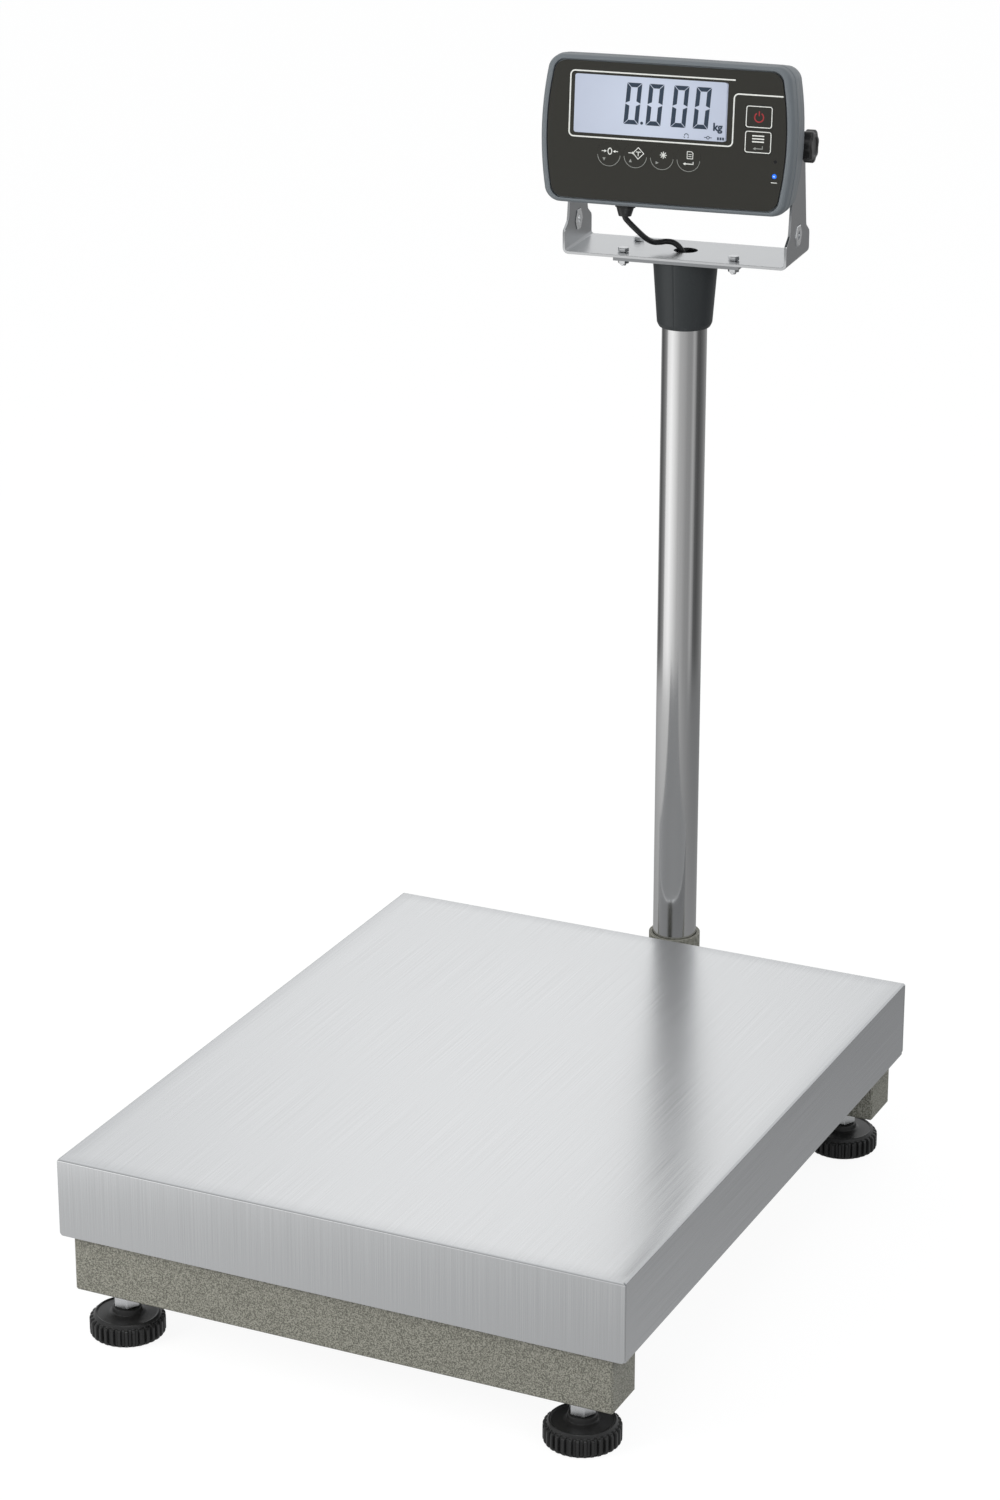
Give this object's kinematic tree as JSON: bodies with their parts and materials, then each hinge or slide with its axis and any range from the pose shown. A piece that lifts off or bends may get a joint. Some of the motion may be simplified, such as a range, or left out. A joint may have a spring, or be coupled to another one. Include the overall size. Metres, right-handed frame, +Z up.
{
  "type": "platform scale",
  "caption": "Low platform scale for small animals: brushed steel pan on a painted base with screw feet, rear column and a tilting indicator with keys and display.",
  "frame": {"origin": "centre of the object's footprint box, on the floor", "axes": "+Z up, front of the pan and of the indicator towards -Y, +X to the right seen from the front"},
  "size_m": [0.4, 0.5943, 0.7698],
  "materials": {
    "brushed_stainless": "long grain brushed",
    "polished_tube": "polished tube",
    "zinc_plate": "bright zinc plate",
    "textured_paint": "hammered khaki grey powder coat",
    "aluminium": "milled",
    "black_plastic": "moulded black",
    "rubber": "matt",
    "slate_plastic": "moulded slate",
    "housing_plastic": "fine texture",
    "panel_film": "matt printed film",
    "key_film": "matt printed film",
    "display_glass": "backlit display",
    "circuit_board": "solder mask",
    "battery_case": "moulded",
    "cable_jacket": "soft satin",
    "blue_led": "clear lens"
  },
  "bodies": {
    "base": {"base_frame": "textured_paint", "column_socket": "textured_paint", "socket_bolt_left": "zinc_plate", "socket_bolt_right": "zinc_plate", "column_clamp_screw": "zinc_plate", "load_cell": "aluminium", "cell_spacer_lower": "zinc_plate", "cell_bolt_fixed_left": "zinc_plate", "cell_bolt_fixed_right": "zinc_plate", "foot_lock_nut_front_left": "zinc_plate", "foot_lock_nut_front_right": "zinc_plate", "foot_lock_nut_rear_left": "zinc_plate", "foot_lock_nut_rear_right": "zinc_plate"},
    "foot_front_left": {"foot_stem_front_left": "zinc_plate"},
    "disc_front_left": {"foot_disc_front_left": "black_plastic"},
    "foot_front_right": {"foot_stem_front_right": "zinc_plate"},
    "disc_front_right": {"foot_disc_front_right": "black_plastic"},
    "foot_rear_left": {"foot_stem_rear_left": "zinc_plate"},
    "disc_rear_left": {"foot_disc_rear_left": "black_plastic"},
    "foot_rear_right": {"foot_stem_rear_right": "zinc_plate"},
    "disc_rear_right": {"foot_disc_rear_right": "black_plastic"},
    "load_carrier": {"cell_spacer_upper": "zinc_plate", "cell_bolt_free_left": "zinc_plate", "cell_bolt_free_right": "zinc_plate", "load_frame": "zinc_plate", "buffer_front_left": "rubber", "buffer_front_right": "rubber", "buffer_rear_left": "rubber", "buffer_rear_right": "rubber"},
    "pan": {"weighing_pan": "brushed_stainless"},
    "column": {"column_tube": "polished_tube", "column_collar": "slate_plastic", "head_flange": "zinc_plate", "head_bracket": "brushed_stainless", "ear_insert_left": "zinc_plate", "ear_insert_right": "zinc_plate", "signal_cable": "cable_jacket", "flange_bolt_front_left": "zinc_plate", "flange_bolt_front_right": "zinc_plate", "flange_bolt_rear_left": "zinc_plate"},
    "head": {"head_front_shell": "housing_plastic", "head_rear_shell": "housing_plastic", "panel_film": "panel_film", "display_module": "display_glass", "power_led": "blue_led", "main_board": "circuit_board", "battery_pack": "battery_case", "charger_socket": "black_plastic", "cable_gland": "black_plastic"},
    "knob_left": {"tilt_knob_left": "black_plastic"},
    "knob_right": {"tilt_knob_right": "black_plastic"},
    "key_zero": {"key_zero": "key_film"},
    "key_tare": {"key_tare": "key_film"},
    "key_function": {"key_function": "key_film"},
    "key_print": {"key_print": "key_film"},
    "key_power": {"key_power": "key_film"},
    "key_mode": {"key_mode": "key_film"}
  },
  "joints": [
    {"name": "foot_height_front_left", "type": "slide", "parent": "base", "child": "foot_front_left", "axis": [0, 0, 1], "range_m": [-0.012, 0]},
    {"name": "foot_turn_front_left", "type": "hinge", "parent": "foot_front_left", "child": "disc_front_left", "pos_m": [-0.1635, -0.27665, 0], "axis": [0, 0, 1], "range_deg": [-2881, 0]},
    {"name": "foot_height_front_right", "type": "slide", "parent": "base", "child": "foot_front_right", "axis": [0, 0, 1], "range_m": [-0.012, 0]},
    {"name": "foot_turn_front_right", "type": "hinge", "parent": "foot_front_right", "child": "disc_front_right", "pos_m": [0.1635, -0.27665, 0], "axis": [0, 0, 1], "range_deg": [-2881, 0]},
    {"name": "foot_height_rear_left", "type": "slide", "parent": "base", "child": "foot_rear_left", "axis": [0, 0, 1], "range_m": [-0.012, 0]},
    {"name": "foot_turn_rear_left", "type": "hinge", "parent": "foot_rear_left", "child": "disc_rear_left", "pos_m": [-0.1635, 0.18235, 0], "axis": [0, 0, 1], "range_deg": [-2881, 0]},
    {"name": "foot_height_rear_right", "type": "slide", "parent": "base", "child": "foot_rear_right", "axis": [0, 0, 1], "range_m": [-0.012, 0]},
    {"name": "foot_turn_rear_right", "type": "hinge", "parent": "foot_rear_right", "child": "disc_rear_right", "pos_m": [0.1635, 0.18235, 0], "axis": [0, 0, 1], "range_deg": [-2881, 0]},
    {"name": "load_cell_deflection", "type": "slide", "parent": "base", "child": "load_carrier", "axis": [0, 0, 1], "range_m": [-0.00025, 0], "stiffness_N_per_m": 250000, "springref_m": 0.00025},
    {"name": "pan_lift", "type": "slide", "parent": "load_carrier", "child": "pan", "axis": [0, 0, 1], "range_m": [0, 0.06]},
    {"name": "column_swivel", "type": "hinge", "parent": "base", "child": "column", "pos_m": [0, 0.25435, 0.1], "axis": [0, 0, 1], "range_deg": [-36, 24], "deforming": ["signal_cable"]},
    {"name": "head_tilt", "type": "hinge", "parent": "column", "child": "head", "pos_m": [0, 0.25435, 0.7078], "axis": [0.9945, 0.1045, 0], "range_deg": [-25, 3], "deforming": ["signal_cable"]},
    {"name": "tilt_knob_turn_left", "type": "hinge", "parent": "head", "child": "knob_left", "pos_m": [-0.08085, 0.24585, 0.7078], "axis": [-0.9945, -0.1045, 0], "range_deg": [0, 720]},
    {"name": "tilt_knob_turn_right", "type": "hinge", "parent": "head", "child": "knob_right", "pos_m": [0.08085, 0.26285, 0.7078], "axis": [0.9945, 0.1045, 0], "range_deg": [0, 720]},
    {"name": "key_zero_press", "type": "slide", "parent": "head", "child": "key_zero", "axis": [-0.1041, 0.9907, -0.0872], "range_m": [0, 0.0004], "stiffness_N_per_m": 1000, "springref_m": -0.0004},
    {"name": "key_tare_press", "type": "slide", "parent": "head", "child": "key_tare", "axis": [-0.1041, 0.9907, -0.0872], "range_m": [0, 0.0004], "stiffness_N_per_m": 1000, "springref_m": -0.0004},
    {"name": "key_function_press", "type": "slide", "parent": "head", "child": "key_function", "axis": [-0.1041, 0.9907, -0.0872], "range_m": [0, 0.0004], "stiffness_N_per_m": 1000, "springref_m": -0.0004},
    {"name": "key_print_press", "type": "slide", "parent": "head", "child": "key_print", "axis": [-0.1041, 0.9907, -0.0872], "range_m": [0, 0.0004], "stiffness_N_per_m": 1000, "springref_m": -0.0004},
    {"name": "key_power_press", "type": "slide", "parent": "head", "child": "key_power", "axis": [-0.1041, 0.9907, -0.0872], "range_m": [0, 0.0004], "stiffness_N_per_m": 1000, "springref_m": -0.0004},
    {"name": "key_mode_press", "type": "slide", "parent": "head", "child": "key_mode", "axis": [-0.1041, 0.9907, -0.0872], "range_m": [0, 0.0004], "stiffness_N_per_m": 1000, "springref_m": -0.0004}
  ],
  "couplings": [
    {"joint": "foot_turn_front_left", "follows": "foot_height_front_left", "rad_per_m": 4188.8},
    {"joint": "foot_turn_front_right", "follows": "foot_height_front_right", "rad_per_m": 4188.8},
    {"joint": "foot_turn_rear_left", "follows": "foot_height_rear_left", "rad_per_m": 4188.8},
    {"joint": "foot_turn_rear_right", "follows": "foot_height_rear_right", "rad_per_m": 4188.8}
  ]
}
